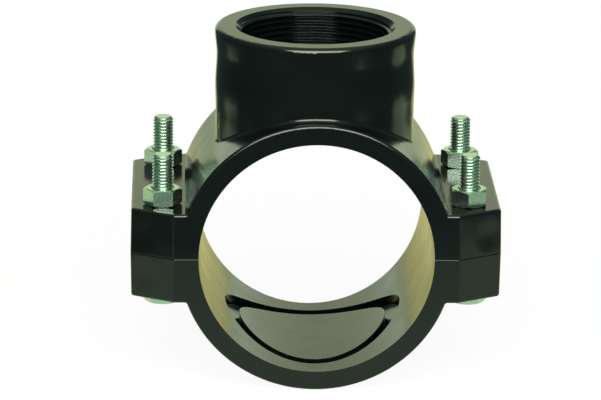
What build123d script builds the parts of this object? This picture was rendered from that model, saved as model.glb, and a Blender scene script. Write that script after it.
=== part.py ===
from build123d import *
from math import radians, tan
import os

# Tapping saddle for a 90 mm plastic pipe, with a 2 inch threaded outlet.
# Two moulded half shells close around the pipe and four bolts draw them together.
# A rubber ring in the upper half seals round the tapping hole.
# The origin is the centre of the pipe bore, +Y runs along the pipe and +Z out of the outlet.
# Front is the end that faces -Y, and left and right are as seen from there.

# Pipe bore and shell
pipe_diameter = 90.0
shell_wall = 7.5
shell_length = 90.0
draft_angle = 1.0
edge_round = 1.2

# Bolting ears, one half of each pair: each narrows from its shoulders to its outer end
ear_height = 17.5
ear_beyond_shell = 18.5
ear_shoulder_beyond_shell = 1.9
ear_end_setback = 9.5
ear_end_round = 1.6
ear_shoulder_round = 3.0
parting_edge_round = 0.3

# Outlet socket, a little waisted under its lip where the thick wall has shrunk.
# Its foot stands inside the shell's ends, and its other radii are given against the foot's.
outlet_above_shell = 28.5
foot_inside_shell_end = 6.6
foot_below_lip = 32.0
lip_beyond_foot = 0.4
lip_round = 2.0
waist_inside_foot = 0.2
waist_below_lip = 8.5
belly_beyond_foot = 0.2
belly_below_lip = 22.0
socket_base_round = 1.6

# Inside of the outlet: a 2 inch pipe thread of 11 turns to the inch, with flat crests and roots
socket_wall = 8.6
thread_depth = 1.48
thread_pitch = 25.4 / 11
thread_flank_angle = 27.5
thread_length = 24.0
thread_above_floor = 1.3
thread_below_lip = 1.2
thread_start_angle = 50.8
thread_mouth_chamfer = 1.2
passage_inside_thread = 2.8

# Seal groove, cut alike in both halves, and the rubber ring that fills the upper one
groove_outside_passage = 1.6
groove_width = 5.7
groove_depth = 3.0
gasket_clearance = 0.1
gasket_round = 0.8

# Bolts and nuts
bolt_inside_ear_end = 12.25
bolt_inside_ear_side = 7.1
bolt_diameter = 8.0
bolt_hole_diameter = 9.0
bolt_above_ear = 19.7
bolt_tip_chamfer = 1.0
head_across_flats = 13.0
head_height = 5.3
pocket_depth = 1.8
pocket_clearance = 0.15
nut_across_flats = 13.0
nut_height = 6.5
nut_running_clearance = 0.05
nut_mouth_chamfer = 0.5
hex_face_inset = 0.3
hex_bevel_angle = 30.0

# How far each nut is turned from having a flat square to the front, in degrees
nut_turns = {"front_left": 2.0, "front_right": 24.5, "rear_left": 4.0, "rear_right": -12.0}

# Values that follow from the ones above
bore_radius = pipe_diameter / 2
shell_radius = bore_radius + shell_wall
half_length = shell_length / 2
ear_reach = shell_radius + ear_beyond_shell
ear_shoulder_reach = shell_radius + ear_shoulder_beyond_shell
ear_half_end = half_length - ear_end_setback
outlet_height = shell_radius + outlet_above_shell
foot_radius = half_length - foot_inside_shell_end
lip_radius = foot_radius + lip_beyond_foot
thread_radius = foot_radius - socket_wall
thread_crest_radius = thread_radius - thread_depth
thread_mouth_radius = thread_radius + thread_mouth_chamfer
thread_floor = outlet_height - thread_length
passage_radius = thread_radius - passage_inside_thread
groove_inner_radius = passage_radius + groove_outside_passage
groove_outer_radius = groove_inner_radius + groove_width
groove_floor_radius = bore_radius + groove_depth
bolt_radius = bolt_diameter / 2
bolt_seat = pocket_depth - ear_height
bolt_tip = ear_height + bolt_above_ear
bolt_x = ear_reach - bolt_inside_ear_end
bolt_y = ear_half_end - bolt_inside_ear_side
bolt_places = {
    "front_left": (-bolt_x, -bolt_y),
    "front_right": (bolt_x, -bolt_y),
    "rear_left": (-bolt_x, bolt_y),
    "rear_right": (bolt_x, bolt_y),
}

# The joint face of each half, looking into its material, and a plane behind the saddle
# from which its lengthwise profiles are cut towards the front
upper_joint = Plane.XY
lower_joint = Plane.XY.rotated((180, 0, 0))
behind = Plane.XZ.offset(-shell_length)
through = 2 * shell_length


def is_moulded_edge(edge):
    """The edges at ear height and above it, all of which the mould rounds."""
    return abs(edge.center().Z) > ear_height - edge_round


def is_parting_edge(edge):
    """The edges round a half's joint face."""
    return abs(edge.center().Z) < parting_edge_round / 2


def is_socket_base(edge):
    """The two curves in which the socket's foot meets the shell."""
    on_foot = all(abs((edge @ t).X ** 2 + (edge @ t).Y ** 2 - foot_radius**2) < 1 for t in (0.1, 0.5, 0.9))
    return on_foot and edge.center().Z < shell_radius - shell_wall


def is_nut_mouth(edge):
    """The rims of a nut's hole, which are narrower than its bevelled faces."""
    return edge.radius < bolt_radius + 2 * nut_running_clearance


def half_shell(joint_face):
    """One half of the clamp, solid through its bore: a drafted block trimmed to shell and ears."""
    with BuildPart() as blank:
        with BuildSketch(joint_face):
            Polygon(
                (ear_shoulder_reach, -half_length),
                (ear_reach, -ear_half_end),
                (ear_reach, ear_half_end),
                (ear_shoulder_reach, half_length),
                (-ear_shoulder_reach, half_length),
                (-ear_reach, ear_half_end),
                (-ear_reach, -ear_half_end),
                (-ear_shoulder_reach, -half_length),
                align=None,
            )
            ends = vertices().filter_by(lambda v: abs(v.Y) < (half_length + ear_half_end) / 2)
            fillet(ends, radius=ear_end_round)
            shoulders = vertices().filter_by(lambda v: abs(v.Y) > (half_length + ear_half_end) / 2)
            fillet(shoulders, radius=ear_shoulder_round)
        extrude(amount=shell_radius + shell_wall, taper=draft_angle)
        fillet(blank.edges().filter_by(is_parting_edge), radius=parting_edge_round)
        with BuildSketch(behind):
            Circle(shell_radius)
            Rectangle(2 * ear_reach + shell_wall, 2 * ear_height)
        extrude(amount=through, mode=Mode.INTERSECT)
        fillet(blank.edges().filter_by(is_moulded_edge), radius=edge_round)
    return blank.part


def hexagon(foot, across_flats, height, turn=0, bevel_foot=True):
    """A hexagon bar standing on the plane foot, its top bevelled as on a bolt head or a nut."""
    face_radius = across_flats / 2 - hex_face_inset
    middle_radius = face_radius + height / 2 / tan(radians(hex_bevel_angle))
    with BuildPart() as bar:
        with BuildSketch(foot):
            RegularPolygon(across_flats / 2, 6, major_radius=False, rotation=turn)
        extrude(amount=height)
        with BuildSketch(Plane(foot.origin, x_dir=foot.x_dir, z_dir=-foot.y_dir)):
            Polygon(
                (0, 0),
                (face_radius if bevel_foot else middle_radius, 0),
                (middle_radius, height / 2),
                (face_radius, height),
                (0, height),
                align=None,
            )
        revolve(axis=Axis(foot.origin, foot.z_dir), mode=Mode.INTERSECT)
    return bar.part


# Seal groove: an upright ring, trimmed to a drum that is deeper than the bore
with BuildPart() as seal_groove:
    with BuildSketch(upper_joint):
        Circle(groove_outer_radius)
        Circle(groove_inner_radius, mode=Mode.SUBTRACT)
    extrude(amount=shell_radius, both=True)
    with BuildSketch(behind):
        Circle(groove_floor_radius)
    extrude(amount=through, mode=Mode.INTERSECT)

# Thread groove: a bar wound from just above the thread's floor to just below the lip.
# Its section is that of the groove and reaches a little inside the crests.
with BuildPart() as thread_groove:
    flank_lean = tan(radians(thread_flank_angle))
    thread_reach = thread_depth + 0.1 * thread_depth
    root_half_width = thread_pitch / 4 - thread_depth / 2 * flank_lean
    with BuildLine() as thread_path:
        Helix(
            pitch=thread_pitch,
            height=thread_length - thread_above_floor - thread_below_lip,
            radius=thread_radius,
            center=(0, 0, thread_floor + thread_above_floor),
        )
    with BuildSketch(Plane(thread_path.line @ 0, x_dir=(1, 0, 0), z_dir=thread_path.line % 0)):
        Polygon(
            (0, root_half_width),
            (-thread_reach, root_half_width + thread_reach * flank_lean),
            (-thread_reach, -root_half_width - thread_reach * flank_lean),
            (0, -root_half_width),
            align=None,
        )
    sweep(is_frenet=True)

# Upper half, one moulding with the outlet socket
with BuildPart() as upper_half:
    add(half_shell(upper_joint))
    with BuildSketch(Plane.XZ):
        foot_top = outlet_height - foot_below_lip
        lip_side = outlet_height - lip_round
        lip_edge = lip_radius - lip_round
        with BuildLine():
            Polyline(
                (foot_radius, foot_top),
                (foot_radius, 0),
                (0, 0),
                (0, outlet_height),
                (lip_edge, outlet_height),
            )
            RadiusArc((lip_edge, outlet_height), (lip_radius, lip_side), lip_round)
            Spline(
                (lip_radius, lip_side),
                (foot_radius - waist_inside_foot, outlet_height - waist_below_lip),
                (foot_radius + belly_beyond_foot, outlet_height - belly_below_lip),
                (foot_radius, foot_top),
                tangents=[(0, -1), (0, -1)],
            )
        make_face()
    revolve(axis=Axis.Z)
    fillet(upper_half.edges().filter_by(is_socket_base), radius=socket_base_round)
    with BuildSketch(behind):
        Circle(bore_radius)
    extrude(amount=through, mode=Mode.SUBTRACT)
    add(seal_groove.part, mode=Mode.SUBTRACT)
    with BuildSketch(Plane.XY.offset(outlet_height)):
        Circle(thread_crest_radius)
    extrude(amount=-thread_length, mode=Mode.SUBTRACT)
    add(thread_groove.part, rotation=(0, 0, thread_start_angle), mode=Mode.SUBTRACT)
    with BuildSketch(Plane.XZ):
        Polygon(
            (0, outlet_height - thread_mouth_radius),
            (thread_mouth_radius, outlet_height),
            (0, outlet_height),
            align=None,
        )
    revolve(axis=Axis.Z, mode=Mode.SUBTRACT)
    with BuildSketch(upper_joint):
        Circle(passage_radius)
    extrude(amount=thread_floor, mode=Mode.SUBTRACT)
    with BuildSketch(upper_joint):
        with Locations(*bolt_places.values()):
            Circle(bolt_hole_diameter / 2)
    extrude(amount=ear_height, mode=Mode.SUBTRACT)
upper_half.part.label = "upper_half"

# Lower half, with a hexagonal pocket under each bolt hole that keeps the head from turning
with BuildPart() as lower_half:
    add(half_shell(lower_joint))
    with BuildSketch(behind):
        Circle(bore_radius)
    extrude(amount=through, mode=Mode.SUBTRACT)
    add(seal_groove.part, mode=Mode.SUBTRACT)
    with BuildSketch(upper_joint):
        with Locations(*bolt_places.values()):
            Circle(bolt_hole_diameter / 2)
    extrude(amount=-ear_height, mode=Mode.SUBTRACT)
    with BuildSketch(Plane.XY.offset(-ear_height)):
        with Locations(*bolt_places.values()):
            RegularPolygon(head_across_flats / 2 + pocket_clearance, 6, major_radius=False)
    extrude(amount=pocket_depth, mode=Mode.SUBTRACT)
lower_half.part.label = "lower_half"

# Rubber ring, drawn as a pipe presses it: level with the bore
with BuildPart() as gasket:
    with BuildSketch(upper_joint):
        Circle(groove_outer_radius - gasket_clearance)
        Circle(groove_inner_radius + gasket_clearance, mode=Mode.SUBTRACT)
    extrude(amount=shell_radius)
    with BuildSketch(behind):
        Circle(groove_floor_radius - gasket_clearance)
    extrude(amount=through, mode=Mode.INTERSECT)
    with BuildSketch(behind):
        Circle(bore_radius)
    extrude(amount=through, mode=Mode.SUBTRACT)
    fillet(gasket.edges(), radius=gasket_round)
gasket.part.label = "gasket"

os.makedirs("parts", exist_ok=True)
for moulding in (upper_half, lower_half, gasket):
    export_step(moulding.part, f"parts/{moulding.part.label}.step")

# A bolt from below and a nut on the upper ear at each corner
for corner, (x, y) in bolt_places.items():
    seat = Plane((x, y, bolt_seat))
    with BuildPart() as bolt:
        add(hexagon(Plane(seat.origin, x_dir=(1, 0, 0), z_dir=(0, 0, -1)), head_across_flats, head_height,
                    bevel_foot=False))
        with BuildSketch(seat):
            Circle(bolt_radius)
        extrude(amount=bolt_tip - bolt_seat)
        chamfer(bolt.edges().group_by(Axis.Z)[-1], length=bolt_tip_chamfer)
    bolt.part.label = f"bolt_{corner}"
    export_step(bolt.part, f"parts/{bolt.part.label}.step")

    ear_top = Plane((x, y, ear_height))
    with BuildPart() as nut:
        add(hexagon(ear_top, nut_across_flats, nut_height, turn=nut_turns[corner]))
        with BuildSketch(ear_top):
            Circle(bolt_radius + nut_running_clearance)
        extrude(amount=nut_height, mode=Mode.SUBTRACT)
        mouths = nut.edges().filter_by(GeomType.CIRCLE).filter_by(is_nut_mouth)
        chamfer(mouths, length=nut_mouth_chamfer)
    nut.part.label = f"nut_{corner}"
    export_step(nut.part, f"parts/{nut.part.label}.step")
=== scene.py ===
import math

import bpy
from mathutils import Matrix, Vector


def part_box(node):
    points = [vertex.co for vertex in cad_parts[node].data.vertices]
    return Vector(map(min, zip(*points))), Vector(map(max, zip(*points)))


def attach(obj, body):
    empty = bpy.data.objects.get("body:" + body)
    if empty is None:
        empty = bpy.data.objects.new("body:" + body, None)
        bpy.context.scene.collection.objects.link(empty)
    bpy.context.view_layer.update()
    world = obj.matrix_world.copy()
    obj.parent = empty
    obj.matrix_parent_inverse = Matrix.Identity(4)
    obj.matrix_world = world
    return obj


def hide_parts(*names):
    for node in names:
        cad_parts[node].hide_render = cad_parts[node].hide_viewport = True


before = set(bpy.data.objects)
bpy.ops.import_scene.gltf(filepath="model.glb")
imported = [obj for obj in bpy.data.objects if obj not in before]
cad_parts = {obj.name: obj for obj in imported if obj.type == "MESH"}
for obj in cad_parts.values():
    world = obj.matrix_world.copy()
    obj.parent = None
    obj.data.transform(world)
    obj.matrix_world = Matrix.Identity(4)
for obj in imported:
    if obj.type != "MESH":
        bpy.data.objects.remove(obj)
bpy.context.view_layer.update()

# Tapping saddle of black moulded polypropylene with zinc-plated bolts and nuts.
# Sizes are in metres: mm turns a size in millimetres into one.
mm = 0.001

# Moulded faces: the middle, radius and depth of the sink mark on each ear's face, and the
# radius that a sharp edge of the mould leaves
sink_mark = (66 * mm, 38.3 * mm, 8.0 * mm)
sink_radius, sink_depth = 8.0 * mm, 0.18 * mm
edge_round = 0.2 * mm

# Bolts, M8 of coarse pitch, threaded down to a plain shank
bolt_radius = 4.0 * mm
bolt_pitch = 1.25 * mm
bolt_thread_length = 28.0 * mm
bolt_thread_depth = 0.767 * mm
bolt_flank = math.radians(30.0)
bolt_tip_chamfer = 1.0 * mm
cutter_overshoot = 0.12 * mm
root_spread = 1.2
head_across_flats = 13.0 * mm
head_height = 5.3 * mm
head_face_inset = 0.3 * mm
head_bevel_angle = math.radians(30.0)
edge_break = 0.12 * mm
shank_sides, head_bevel_sides, steps_per_turn = 48, 96, 32
# Edges over the first angle are broken, and faces that meet under the second are shaded as one
broken_angle, smooth_angle = math.radians(25), math.radians(32)

# The white sheet that the saddle stands on is a painted reflection, in the floor's colour for the gloss
# alone;
# its edges show in the gloss of the black plastic. Its widths run from its middle to a side, and the
# backdrop's is a share of the distance behind.
floor_size = 12.0
sheet_centre = 30 * mm
sheet_front = -228 * mm
sheet_front_width, sheet_middle_width, sheet_back_width = 240 * mm, 400 * mm, 190 * mm
sheet_fade = 20 * mm
backdrop_spread = 0.4

# How much of the floor is its own light: near the object and far off to the camera, and in the gloss
camera_share_near, camera_share_far, gloss_share = 0.94, 1.0, 0.6

# The softbox: how far off, how large, how high and how strong it is
lamp_distance = 1.2
lamp_width, lamp_depth = 1.2, 0.75
lamp_elevation = math.radians(41)
lamp_watts = 29

# A noise texture mostly stays between these
noise_low, noise_high = 0.3, 0.7

corners = ("front_left", "front_right", "rear_left", "rear_right")
floor_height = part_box("lower_half")[0].z


def linear(hex_colour):
    """An sRGB hex colour as the linear red, green, blue and alpha that a shader takes."""
    channels = [int(hex_colour[i : i + 2], 16) / 255 for i in (1, 3, 5)]
    return [c / 12.92 if c <= 0.04045 else ((c + 0.055) / 1.055) ** 2.4 for c in channels] + [1.0]


def add_node(tree, kind, inputs=None, **settings):
    """Adds a node with its settings. Each of its inputs is given a value, or another node's output."""
    node = tree.nodes.new(kind)
    for name, value in settings.items():
        setattr(node, name, value)
    for socket, value in (inputs or {}).items():
        if isinstance(value, bpy.types.NodeSocket):
            tree.links.new(value, node.inputs[socket])
        else:
            node.inputs[socket].default_value = value
    return node


def new_material(name):
    """An empty node material and its tree."""
    material = bpy.data.materials.new(name)
    material.use_nodes = True
    material.node_tree.nodes.clear()
    return material, material.node_tree


def layered(tree, first, layers):
    """A colour that turns into each next one while that layer's value passes from start to end."""
    tone = linear(first)
    for value, start, end, colour in layers:
        share = add_node(tree, "ShaderNodeMapRange", {
            "Value": value, "From Min": start, "From Max": end}, interpolation_type="SMOOTHSTEP")
        mixed = add_node(tree, "ShaderNodeMix", {
            "Factor": share.outputs[0], "A": tone, "B": linear(colour)}, data_type="RGBA")
        tone = mixed.outputs["Result"]
    return tone


def moulded_polypropylene():
    """Glossy black polypropylene from a polished mould: deep black with a clear, slightly wavy gloss."""
    # The melt's slow cooling leaves long ripples, and the mould's polish a fine grain
    ripple_length, ripple_height = 9 * mm, 0.06 * mm
    grain_size, grain_height = 0.5 * mm, 0.004 * mm
    smear_length = 14 * mm
    material, tree = new_material("moulded_polypropylene")
    place = add_node(tree, "ShaderNodeTexCoord").outputs["Object"]
    ripple = add_node(tree, "ShaderNodeTexNoise", {
        "Vector": place, "Scale": 1 / ripple_length, "Detail": 1.0})
    grain = add_node(tree, "ShaderNodeTexNoise", {
        "Vector": place, "Scale": 1 / grain_size, "Detail": 2.0})
    smear = add_node(tree, "ShaderNodeTexNoise", {
        "Vector": place, "Scale": 1 / smear_length, "Detail": 3.0})
    # Thick sections sink as they cool: a shallow dent on each ear's face, above and below the joint
    folded = add_node(tree, "ShaderNodeVectorMath", {0: place}, operation="ABSOLUTE")
    from_dent = add_node(tree, "ShaderNodeVectorMath", {
        0: folded.outputs[0], 1: sink_mark}, operation="DISTANCE")
    dent = add_node(tree, "ShaderNodeMapRange", {
        "Value": from_dent.outputs["Value"], "From Min": 0.0, "From Max": sink_radius},
        interpolation_type="SMOOTHSTEP")
    edges = add_node(tree, "ShaderNodeBevel", {"Radius": edge_round}, samples=6)
    sinks = add_node(tree, "ShaderNodeBump", {
        "Height": dent.outputs[0], "Strength": 1.0, "Distance": sink_depth,
        "Normal": edges.outputs[0]})
    waves = add_node(tree, "ShaderNodeBump", {
        "Height": ripple.outputs[0], "Strength": 1.0, "Distance": ripple_height,
        "Normal": sinks.outputs[0]})
    relief = add_node(tree, "ShaderNodeBump", {
        "Height": grain.outputs[0], "Strength": 1.0, "Distance": grain_height,
        "Normal": waves.outputs[0]})
    gloss = add_node(tree, "ShaderNodeMapRange", {
        "Value": smear.outputs[0], "From Min": noise_low, "From Max": noise_high,
        "To Min": 0.12, "To Max": 0.2})
    tone = add_node(tree, "ShaderNodeMix", {
        "Factor": smear.outputs[0], "A": linear("#040708"), "B": linear("#080b0b")}, data_type="RGBA")
    shader = add_node(tree, "ShaderNodeBsdfPrincipled", {
        "Base Color": tone.outputs["Result"], "Roughness": gloss.outputs[0], "IOR": 1.49,
        "Normal": relief.outputs[0]})
    add_node(tree, "ShaderNodeOutputMaterial", {"Surface": shader.outputs[0]})
    return material


def seal_rubber():
    """Black EPDM rubber, pressed in a mould: a dull soft sheen with a dusting of bloom."""
    bloom_size = 6 * mm
    grain_size, grain_height = 0.4 * mm, 0.03 * mm
    material, tree = new_material("seal_rubber")
    place = add_node(tree, "ShaderNodeTexCoord").outputs["Object"]
    bloom = add_node(tree, "ShaderNodeTexNoise", {
        "Vector": place, "Scale": 1 / bloom_size, "Detail": 5.0})
    grain = add_node(tree, "ShaderNodeTexNoise", {
        "Vector": place, "Scale": 1 / grain_size, "Detail": 3.0})
    relief = add_node(tree, "ShaderNodeBump", {"Height": grain.outputs[0], "Distance": grain_height})
    tone = add_node(tree, "ShaderNodeMix", {
        "Factor": bloom.outputs[0], "A": linear("#17191a"), "B": linear("#2b2d2d")}, data_type="RGBA")
    gloss = add_node(tree, "ShaderNodeMapRange", {
        "Value": bloom.outputs[0], "From Min": noise_low, "From Max": noise_high,
        "To Min": 0.45, "To Max": 0.62})
    shader = add_node(tree, "ShaderNodeBsdfPrincipled", {
        "Base Color": tone.outputs["Result"], "Roughness": gloss.outputs[0], "IOR": 1.52,
        "Normal": relief.outputs[0]})
    add_node(tree, "ShaderNodeOutputMaterial", {"Surface": shader.outputs[0]})
    return material


def zinc_plated_steel():
    """Bright zinc plate with a thin blue-green passivation: a soft tinted mirror with faint clouds."""
    cloud_size = 5 * mm
    pit_size, pit_depth = 0.6 * mm, 0.02 * mm
    material, tree = new_material("zinc_plated_steel")
    place = add_node(tree, "ShaderNodeTexCoord").outputs["Object"]
    cloud = add_node(tree, "ShaderNodeTexNoise", {
        "Vector": place, "Scale": 1 / cloud_size, "Detail": 3.0})
    pits = add_node(tree, "ShaderNodeTexNoise", {
        "Vector": place, "Scale": 1 / pit_size, "Detail": 3.0})
    relief = add_node(tree, "ShaderNodeBump", {"Height": pits.outputs[0], "Distance": pit_depth})
    tone = add_node(tree, "ShaderNodeMix", {
        "Factor": cloud.outputs[0], "A": linear("#b9d9cb"), "B": linear("#dbead4")}, data_type="RGBA")
    gloss = add_node(tree, "ShaderNodeMapRange", {
        "Value": pits.outputs[0], "From Min": noise_low, "From Max": noise_high,
        "To Min": 0.21, "To Max": 0.31})
    shader = add_node(tree, "ShaderNodeBsdfPrincipled", {
        "Base Color": tone.outputs["Result"], "Metallic": 1.0, "Roughness": gloss.outputs[0],
        "Normal": relief.outputs[0]})
    add_node(tree, "ShaderNodeOutputMaterial", {"Surface": shader.outputs[0]})
    return material


def white_paper_and_painted_reflection():
    """White paper with the object's soft shadow. The gloss sees a painted reflection instead:
    a lit sheet on a dark table.
    """
    material, tree = new_material("white_paper_and_painted_reflection")
    place = add_node(tree, "ShaderNodeTexCoord").outputs["Object"]
    rays = add_node(tree, "ShaderNodeLightPath").outputs
    parts = add_node(tree, "ShaderNodeSeparateXYZ", {"Vector": place}).outputs
    from_centre = add_node(tree, "ShaderNodeMath", {0: parts["X"], 1: sheet_centre}, operation="SUBTRACT")
    across = add_node(tree, "ShaderNodeMath", {0: from_centre.outputs[0]}, operation="ABSOLUTE").outputs[0]

    # The painted reflection's lit sheet is widest beside the object and narrows behind it, where it
    # runs on as the backdrop's foot
    widening = add_node(tree, "ShaderNodeMapRange", {
        "Value": parts["Y"], "From Min": 0.0, "From Max": 80 * mm,
        "To Min": sheet_front_width, "To Max": sheet_middle_width}, interpolation_type="SMOOTHSTEP")
    narrowing = add_node(tree, "ShaderNodeMapRange", {
        "Value": parts["Y"], "From Min": 170 * mm, "From Max": 300 * mm,
        "To Min": 0.0, "To Max": sheet_back_width - sheet_middle_width}, interpolation_type="SMOOTHSTEP")
    near_width = add_node(tree, "ShaderNodeMath", {
        0: widening.outputs[0], 1: narrowing.outputs[0]}, operation="ADD")
    foot_width = add_node(tree, "ShaderNodeMath", {
        0: parts["Y"], 1: backdrop_spread}, operation="MULTIPLY")
    width = add_node(tree, "ShaderNodeMath", {
        0: near_width.outputs[0], 1: foot_width.outputs[0]}, operation="MAXIMUM")
    past_side = add_node(tree, "ShaderNodeMath", {0: across, 1: width.outputs[0]}, operation="SUBTRACT")
    inside_sides = add_node(tree, "ShaderNodeMapRange", {
        "Value": past_side.outputs[0], "From Min": sheet_fade, "From Max": -sheet_fade},
        interpolation_type="SMOOTHSTEP")
    inside_front = add_node(tree, "ShaderNodeMapRange", {
        "Value": parts["Y"], "From Min": sheet_front - sheet_fade, "From Max": sheet_front + sheet_fade},
        interpolation_type="SMOOTHSTEP")
    inside = add_node(tree, "ShaderNodeMath", {
        0: inside_sides.outputs[0], 1: inside_front.outputs[0]}, operation="MULTIPLY")

    # Painted reflection for the gloss: the sheet takes the room's green at the front, and a warmer tone
    # behind that pales with distance
    painted_reflection_tone = layered(tree, "#a2b6a8", (
        (parts["Y"], -200 * mm, -60 * mm, "#bfd3bb"),
        (parts["Y"], -20 * mm, 120 * mm, "#efeaa4"),
        (across, 140 * mm, 260 * mm, "#cfdfc0"),
        (parts["Y"], 250 * mm, 900 * mm, "#e4f2c8"),
    ))
    # Outside the sheet the gloss sees a painted dark table
    painted_reflection = add_node(tree, "ShaderNodeMix", {
        "Factor": inside.outputs[0], "A": linear("#43524f"), "B": painted_reflection_tone}, data_type="RGBA")
    seen = add_node(tree, "ShaderNodeMix", {
        "Factor": rays["Is Glossy Ray"], "A": linear("#f4f4f2"), "B": painted_reflection.outputs["Result"]},
        data_type="RGBA")
    bright = add_node(tree, "ShaderNodeMix", {
        "Factor": rays["Is Glossy Ray"], "A": linear("#ffffff"), "B": painted_reflection.outputs["Result"]},
        data_type="RGBA")
    paper = add_node(tree, "ShaderNodeBsdfDiffuse", {"Color": seen.outputs["Result"]})
    glow = add_node(tree, "ShaderNodeEmission", {"Color": bright.outputs["Result"], "Strength": 1.0})

    away = add_node(tree, "ShaderNodeVectorMath", {0: place}, operation="LENGTH")
    glow_level = add_node(tree, "ShaderNodeMapRange", {
        "Value": away.outputs["Value"], "From Min": 200 * mm, "From Max": 500 * mm,
        "To Min": camera_share_near, "To Max": camera_share_far}, interpolation_type="SMOOTHSTEP")
    to_camera = add_node(tree, "ShaderNodeMath", {
        0: rays["Is Camera Ray"], 1: glow_level.outputs[0]}, operation="MULTIPLY")
    # Painted glow: in the gloss the floor partly shines by itself, which lightens the object's shadow in
    # its reflection
    to_gloss = add_node(tree, "ShaderNodeMath", {
        0: rays["Is Glossy Ray"], 1: gloss_share}, operation="MULTIPLY")
    share = add_node(tree, "ShaderNodeMath", {
        0: to_camera.outputs[0], 1: to_gloss.outputs[0]}, operation="ADD")
    mixed = add_node(tree, "ShaderNodeMixShader", {
        0: share.outputs[0], 1: paper.outputs[0], 2: glow.outputs[0]})
    add_node(tree, "ShaderNodeOutputMaterial", {"Surface": mixed.outputs[0]})
    return material


def deselect():
    """Nothing selected, so that an operator acts only on what is added next."""
    bpy.ops.object.select_all(action="DESELECT")


def take(piece):
    """Selects one object alone and makes it active."""
    deselect()
    piece.select_set(True)
    bpy.context.view_layer.objects.active = piece


def settle(piece):
    """Puts a piece's place, turn and scale into its mesh."""
    take(piece)
    bpy.ops.object.transform_apply(location=True, rotation=True, scale=True)


def dress(piece, material):
    """Gives a piece one material in place of whatever it has."""
    piece.data.materials.clear()
    piece.data.materials.append(material)


def apply_modifier(piece, kind, **settings):
    """Adds a modifier with its settings and applies it."""
    take(piece)
    modifier = piece.modifiers.new(kind.title(), kind)
    for name, value in settings.items():
        setattr(modifier, name, value)
    bpy.ops.object.modifier_apply(modifier=modifier.name)


def combine(piece, tool, operation):
    """Cuts a piece with a tool, keeps what both share or joins them, and deletes the tool."""
    apply_modifier(piece, "BOOLEAN", operation=operation, object=tool, solver="EXACT")
    bpy.data.objects.remove(tool)


def smooth(piece, angle):
    """Smooth shading where faces meet at less than an angle."""
    take(piece)
    bpy.ops.object.shade_smooth_by_angle(angle=angle)


def helix(outline, pitch, turns):
    """A closed bar wound into a right-hand helix about Z. Its outline is points of radius and height."""
    deselect()
    bpy.ops.mesh.primitive_circle_add(vertices=len(outline), fill_type="NOTHING")
    bar = bpy.context.object
    for vertex, (radius, height) in zip(bar.data.vertices, outline):
        vertex.co = (radius, 0, height)
    apply_modifier(bar, "SCREW", axis="Z", angle=math.tau, screw_offset=pitch, iterations=turns,
                   steps=steps_per_turn, render_steps=steps_per_turn, use_merge_vertices=False)
    bpy.ops.object.mode_set(mode="EDIT")
    bpy.ops.mesh.select_all(action="SELECT")
    bpy.ops.mesh.fill_holes(sides=len(outline))
    bpy.ops.mesh.select_all(action="SELECT")
    bpy.ops.mesh.normals_make_consistent(inside=False)
    bpy.ops.object.mode_set(mode="OBJECT")
    return bar


def thread_groove(thread_start):
    """The V groove of the bolt's thread as a bar, which climbs out of the shank over its first turn."""
    lean = math.tan(bolt_flank)
    # The crest is an eighth of the pitch wide, which leaves seven eighths for the groove's mouth
    half_mouth = bolt_pitch * 7 / 16
    half_root = half_mouth - bolt_thread_depth * lean
    root = bolt_radius - bolt_thread_depth
    outline = [
        (bolt_radius + cutter_overshoot, -half_mouth - cutter_overshoot * lean),
        (root + half_root, -half_root * root_spread),
        (root, 0),
        (root + half_root, half_root * root_spread),
        (bolt_radius + cutter_overshoot, half_mouth + cutter_overshoot * lean),
    ]
    groove = helix(outline, bolt_pitch, round(bolt_thread_length / bolt_pitch) + 1)
    groove.location.z = thread_start
    settle(groove)
    for vertex in groove.data.vertices:
        above = vertex.co.z - thread_start
        if above < bolt_pitch:
            lift = 1 + (1 - above / bolt_pitch) * bolt_thread_depth / bolt_radius
            vertex.co.x *= lift
            vertex.co.y *= lift
    return groove


def bolt_head(seat):
    """The hexagon head under its seat, its free face bevelled by a cone and its edges broken."""
    middle = seat - head_height / 2
    flat_to_corner = math.radians(30)
    deselect()
    bpy.ops.mesh.primitive_cylinder_add(
        vertices=6, radius=head_across_flats / 2 / math.cos(flat_to_corner), depth=head_height,
        location=(0, 0, middle), rotation=(0, 0, flat_to_corner))
    head = bpy.context.object
    settle(head)
    face_radius = head_across_flats / 2 - head_face_inset
    deselect()
    bpy.ops.mesh.primitive_cone_add(
        vertices=head_bevel_sides, radius1=face_radius, depth=head_height, location=(0, 0, middle),
        radius2=face_radius + head_height / math.tan(head_bevel_angle))
    combine(head, bpy.context.object, "INTERSECT")
    apply_modifier(head, "BEVEL", width=edge_break, segments=2, limit_method="ANGLE",
                   angle_limit=broken_angle)
    return head


def threaded_bolt(corner):
    """A hexagon bolt with its tip chamfered, its thread cut and its head joined on."""
    low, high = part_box(f"bolt_{corner}")
    seat = low.z + head_height
    shank_length = high.z - seat

    deselect()
    bpy.ops.mesh.primitive_cylinder_add(vertices=shank_sides, radius=bolt_radius, depth=shank_length,
                                        location=(0, 0, seat + shank_length / 2))
    bolt = bpy.context.object
    bolt.name = f"threaded_bolt_{corner}"
    settle(bolt)
    bpy.ops.object.mode_set(mode="EDIT")
    bpy.ops.mesh.select_all(action="DESELECT")
    bpy.ops.object.mode_set(mode="OBJECT")
    # Only the tip's face gets the chamfer
    for face in bolt.data.polygons:
        face.select = face.normal.z > 0.9
    bpy.ops.object.mode_set(mode="EDIT")
    bpy.ops.mesh.bevel(offset=bolt_tip_chamfer, segments=1, affect="EDGES")
    bpy.ops.object.mode_set(mode="OBJECT")

    combine(bolt, thread_groove(high.z - bolt_thread_length), "DIFFERENCE")
    combine(bolt, bolt_head(seat), "UNION")
    bolt.location = ((low.x + high.x) / 2, (low.y + high.y) / 2, 0)
    settle(bolt)
    smooth(bolt, smooth_angle)
    return bolt


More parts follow.
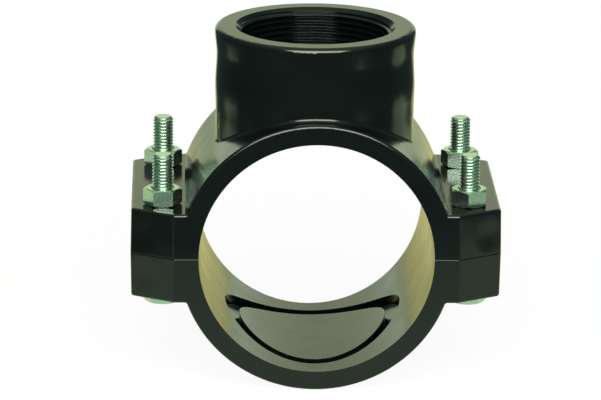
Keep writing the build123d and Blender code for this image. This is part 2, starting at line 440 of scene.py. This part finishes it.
def floor_sheet():
    """The white sheet under the saddle, wide enough to fill every view."""
    deselect()
    bpy.ops.mesh.primitive_plane_add(size=floor_size, location=(0, 0, floor_height))
    floor = bpy.context.object
    floor.name = "floor"
    settle(floor)
    dress(floor, white_paper_and_painted_reflection())
    # The floor stays under the lower half where the saddle is drawn open
    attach(floor, "lower")


def softbox():
    """A large soft lamp in front and above, out of the camera's sight."""
    deselect()
    bpy.ops.object.light_add(type="AREA", location=(
        0, -lamp_distance * math.cos(lamp_elevation), lamp_distance * math.sin(lamp_elevation)))
    lamp = bpy.context.object
    lamp.name = "softbox"
    lamp.rotation_euler = (math.pi / 2 - lamp_elevation, 0, 0)
    lamp.data.shape = "RECTANGLE"
    lamp.data.size, lamp.data.size_y = lamp_width, lamp_depth
    lamp.data.energy = lamp_watts
    lamp.data.color = linear("#fafff0")[:3]
    lamp.visible_camera = False


def room():
    """The world: a dim green room with a pale backdrop behind, and plain white to the camera."""
    world = bpy.context.scene.world or bpy.data.worlds.new("studio")
    bpy.context.scene.world = world
    world.use_nodes = True
    tree = world.node_tree
    tree.nodes.clear()
    rays = add_node(tree, "ShaderNodeLightPath").outputs
    way = add_node(tree, "ShaderNodeTexCoord").outputs["Generated"]
    parts = add_node(tree, "ShaderNodeSeparateXYZ", {"Vector": way}).outputs
    # The backdrop stands behind, 22 degrees to either side, and is dimmer above 20 degrees of height
    sideways = add_node(tree, "ShaderNodeMath", {0: parts["X"]}, operation="ABSOLUTE")
    needed = add_node(tree, "ShaderNodeMath", {
        0: sideways.outputs[0], 1: backdrop_spread}, operation="DIVIDE")
    within = add_node(tree, "ShaderNodeMath", {
        0: parts["Y"], 1: needed.outputs[0]}, operation="SUBTRACT")
    backdrop = add_node(tree, "ShaderNodeMapRange", {
        "Value": within.outputs[0], "From Min": -0.1, "From Max": 0.1}, interpolation_type="SMOOTHSTEP")
    backdrop_tone = layered(tree, "#ecffdc", (
        (parts["Z"], 0.05, 0.25, "#e6f1c8"),
        (parts["Z"], 0.3, 0.45, "#b5bd98"),
    ))
    room_tone = layered(tree, "#566a69", ((parts["Z"], 0.6, 0.95, "#b4c4a4"),))
    tone = add_node(tree, "ShaderNodeMix", {
        "Factor": backdrop.outputs[0], "A": room_tone, "B": backdrop_tone}, data_type="RGBA")
    lit = add_node(tree, "ShaderNodeBackground", {"Color": tone.outputs["Result"], "Strength": 1.0})
    white = add_node(tree, "ShaderNodeBackground", {"Color": linear("#ffffff"), "Strength": 1.0})
    both = add_node(tree, "ShaderNodeMixShader", {
        0: rays["Is Camera Ray"], 1: lit.outputs[0], 2: white.outputs[0]})
    add_node(tree, "ShaderNodeOutputWorld", {"Surface": both.outputs[0]})


def camera():
    """The photographer's place: 1.62 m away, 2 degrees left and 16.3 degrees up, with a long lens."""
    place = Vector((-0.0535, -1.5569, 0.4555))
    aim = Vector((-0.00506, 0.0, 0.01087))
    roll = math.radians(0.64)
    forward = (aim - place).normalized()
    right = forward.cross(Vector((0, 0, 1))).normalized()
    up = right.cross(forward)
    rolled_right = right * math.cos(roll) + up * math.sin(roll)
    rolled_up = up * math.cos(roll) - right * math.sin(roll)
    deselect()
    bpy.ops.object.camera_add(location=place)
    camera_object = bpy.context.object
    turn = Matrix((rolled_right, rolled_up, -forward)).transposed()
    camera_object.rotation_euler = turn.to_euler()
    camera_object.data.sensor_width = 36
    camera_object.data.lens = 248.6
    camera_object.data.clip_start = 0.05
    bpy.context.scene.camera = camera_object


plastic = moulded_polypropylene()
rubber = seal_rubber()
zinc = zinc_plated_steel()

for name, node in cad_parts.items():
    if name.startswith(("bolt", "nut")):
        node.material_slots[0].material = zinc
    elif name == "gasket":
        node.material_slots[0].material = rubber
    else:
        node.material_slots[0].material = plastic

for corner in corners:
    bolt = threaded_bolt(corner)
    dress(bolt, zinc)
    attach(bolt, "lower")
    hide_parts(f"bolt_{corner}")

floor_sheet()
softbox()
room()
camera()
bpy.context.scene.view_settings.view_transform = "Standard"
